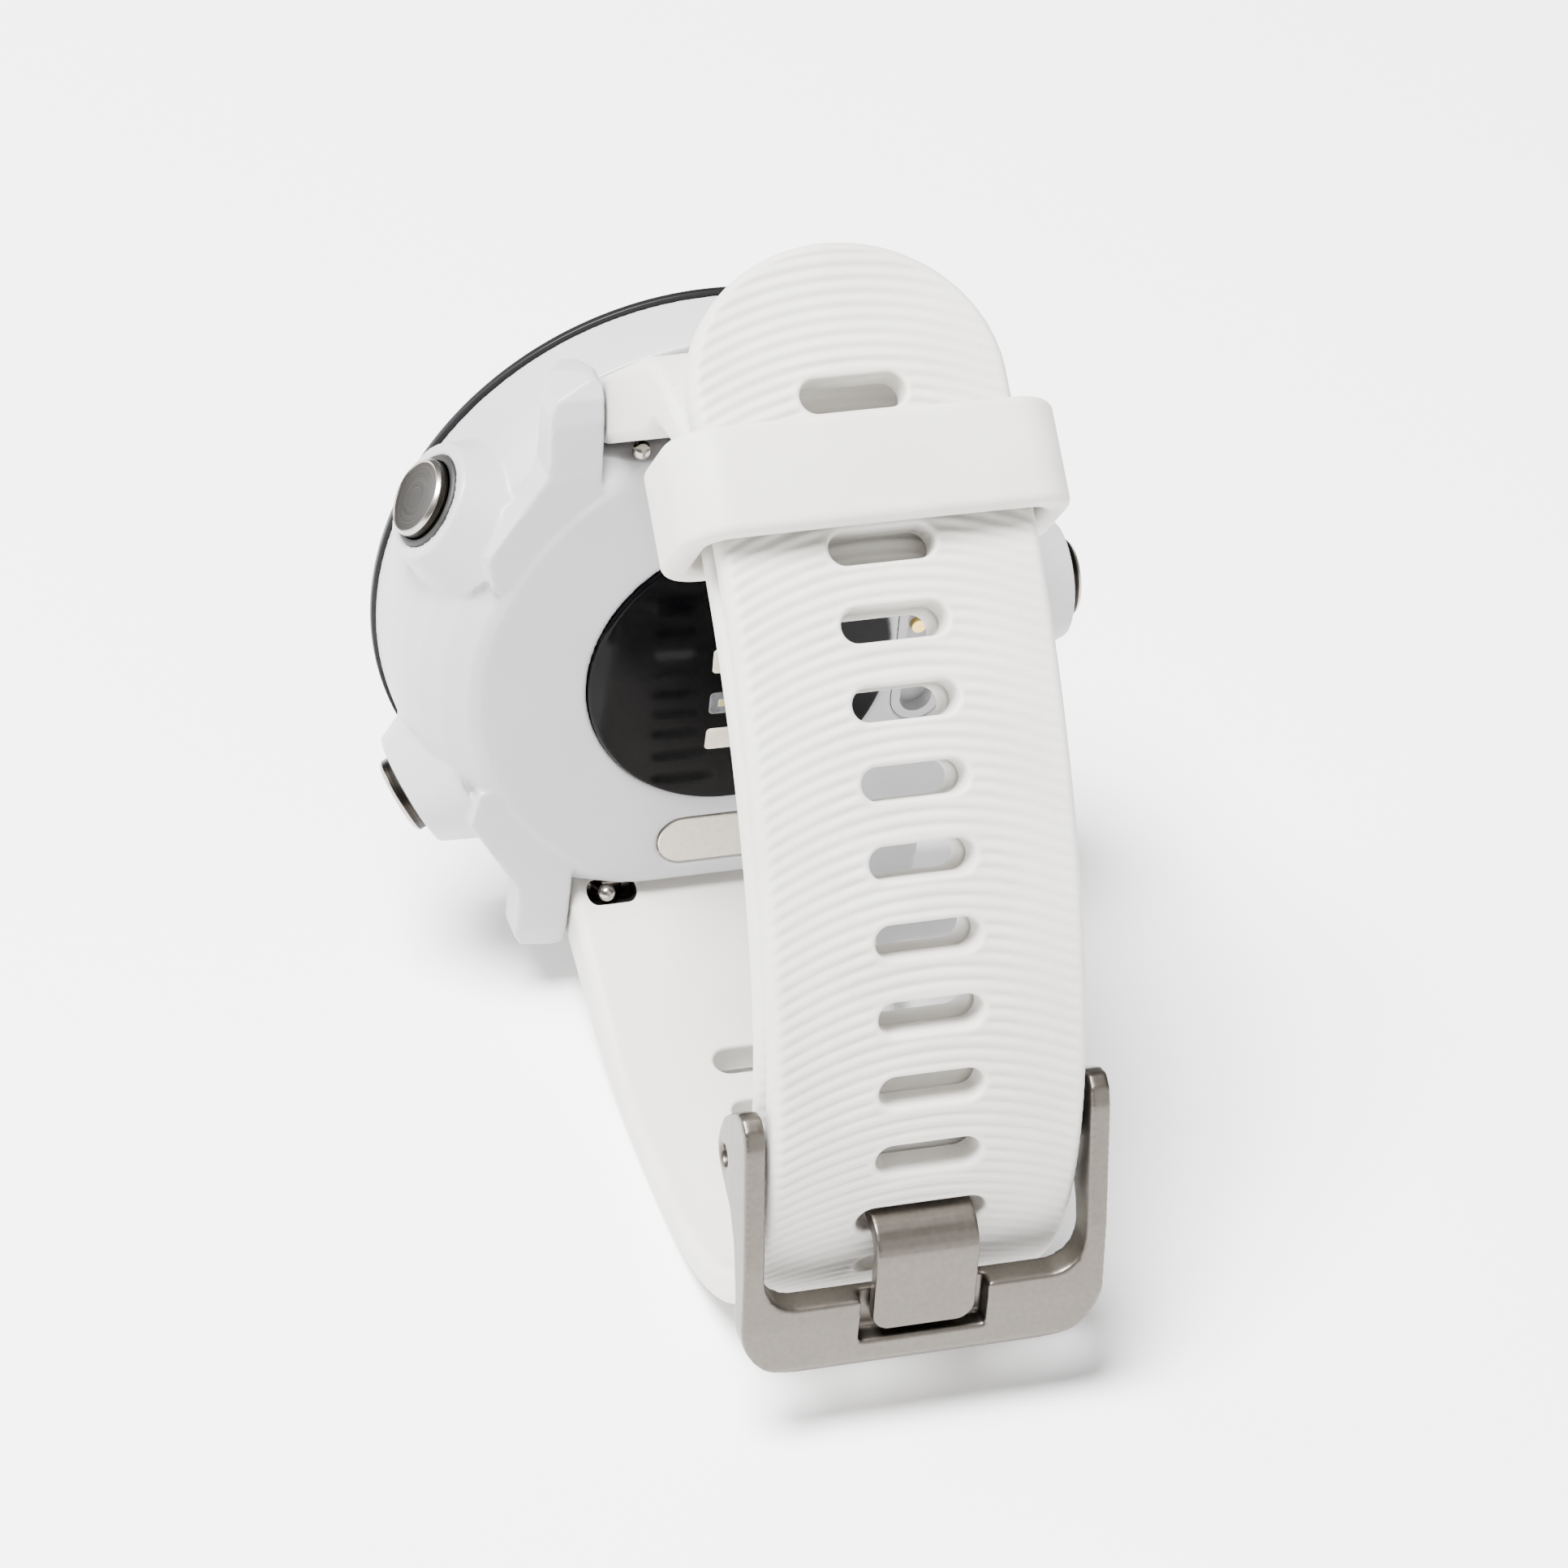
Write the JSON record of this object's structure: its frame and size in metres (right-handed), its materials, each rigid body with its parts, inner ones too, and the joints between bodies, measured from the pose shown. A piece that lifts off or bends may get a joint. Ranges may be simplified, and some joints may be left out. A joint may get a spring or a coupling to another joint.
{
  "type": "golf gps watch",
  "caption": "Round golf GPS wristwatch with a white case, push buttons, an optical sensor in its back and a buckled silicone strap with a keeper loop.",
  "frame": {"origin": "middle of the footprint, on the surface that the buckled strap's underside stands on", "axes": "+Z towards 12 o'clock, the dial faces -Y, +X towards 3 o'clock (the side with two buttons), +Y towards the wrist and the buckle"},
  "size_m": [0.0467, 0.057, 0.064],
  "materials": {
    "case_white": "cool white moulded plastic, matte",
    "silicone_white": "warm white moulded silicone, matte, with fine ribs",
    "bezel_black": "black moulded plastic, satin",
    "front_glass": "clear glass, polished",
    "display": "display, switched off",
    "frame_black": "black moulded plastic",
    "gasket_rubber": "black rubber",
    "board_green": "circuit board",
    "satin_steel": "satin steel",
    "button_steel": "dark steel, turned face with a bright bevel",
    "buckle_steel": "warm satin steel, fine bead-blasted grain",
    "plate_steel": "pale satin steel",
    "gold_contact": "gold-plated",
    "battery_foil": "aluminium laminate",
    "sensor_black": "black polished window",
    "window_beige": "pale beige sensor windows under gloss",
    "led_green": "light-emitting diode"
  },
  "bodies": {
    "watch": {"case_body": "case_white", "bezel_ring": "bezel_black", "front_lens": "front_glass", "lens_gasket": "gasket_rubber", "display_panel": "display", "display_frame": "frame_black", "main_board": "board_green", "board_shields": "satin_steel", "board_screws": "satin_steel", "battery": "battery_foil", "gps_antenna": "gold_contact", "vibration_motor": "satin_steel", "sensor_lens": "sensor_black", "sensor_windows": "window_beige", "sensor_leds": "led_green", "sensor_board": "board_green", "sensor_gasket": "gasket_rubber", "charge_port": "case_white", "charge_contacts": "gold_contact", "id_plate": "plate_steel", "button_collars": "gasket_rubber", "dome_switches": "satin_steel", "strap_long": "silicone_white", "strap_short": "silicone_white", "spring_bar_upper": "satin_steel", "spring_bar_lower": "satin_steel", "bar_pins": "satin_steel"},
    "button_upper": {"button_upper": "button_steel", "seal_upper": "gasket_rubber", "clip_upper": "satin_steel"},
    "button_lower": {"button_lower": "button_steel", "seal_lower": "gasket_rubber", "clip_lower": "satin_steel"},
    "button_left": {"button_left": "button_steel", "seal_left": "gasket_rubber", "clip_left": "satin_steel"},
    "keeper": {"keeper_loop": "silicone_white"},
    "buckle_frame": {"buckle_frame": "buckle_steel", "buckle_bar": "satin_steel"},
    "buckle_tongue": {"buckle_tongue": "buckle_steel"},
    "release_upper": {"release_pin_upper": "satin_steel"},
    "release_lower": {"release_pin_lower": "satin_steel"}
  },
  "joints": [
    {"name": "button_upper_press", "type": "slide", "parent": "watch", "child": "button_upper", "axis": [-0.866, 0, -0.5], "range_m": [0, 0.0006], "stiffness_N_per_m": 1000, "springref_m": -0.0006},
    {"name": "button_lower_press", "type": "slide", "parent": "watch", "child": "button_lower", "axis": [-0.866, 0, 0.5], "range_m": [0, 0.0006], "stiffness_N_per_m": 1000, "springref_m": -0.0006},
    {"name": "button_left_press", "type": "slide", "parent": "watch", "child": "button_left", "axis": [1, 0, 0], "range_m": [0, 0.0006], "stiffness_N_per_m": 1000, "springref_m": -0.0006},
    {"name": "keeper_slide", "type": "slide", "parent": "watch", "child": "keeper", "axis": [0, 0.788, -0.6157], "range_m": [0, 0.003]},
    {"name": "buckle_hinge", "type": "hinge", "parent": "watch", "child": "buckle_frame", "pos_m": [0.00136, 0.022, 0.0183], "axis": [1, 0, 0], "range_deg": [-5, 0]},
    {"name": "tongue_hinge", "type": "hinge", "parent": "watch", "child": "buckle_tongue", "pos_m": [0.00136, 0.022, 0.0183], "axis": [1, 0, 0], "range_deg": [0, 4]},
    {"name": "release_upper_slide", "type": "slide", "parent": "watch", "child": "release_upper", "axis": [-1, 0, 0], "range_m": [0, 0.0012], "stiffness_N_per_m": 500, "springref_m": -0.0012},
    {"name": "release_lower_slide", "type": "slide", "parent": "watch", "child": "release_lower", "axis": [-1, 0, 0], "range_m": [0, 0.0012], "stiffness_N_per_m": 500, "springref_m": -0.0012}
  ]
}
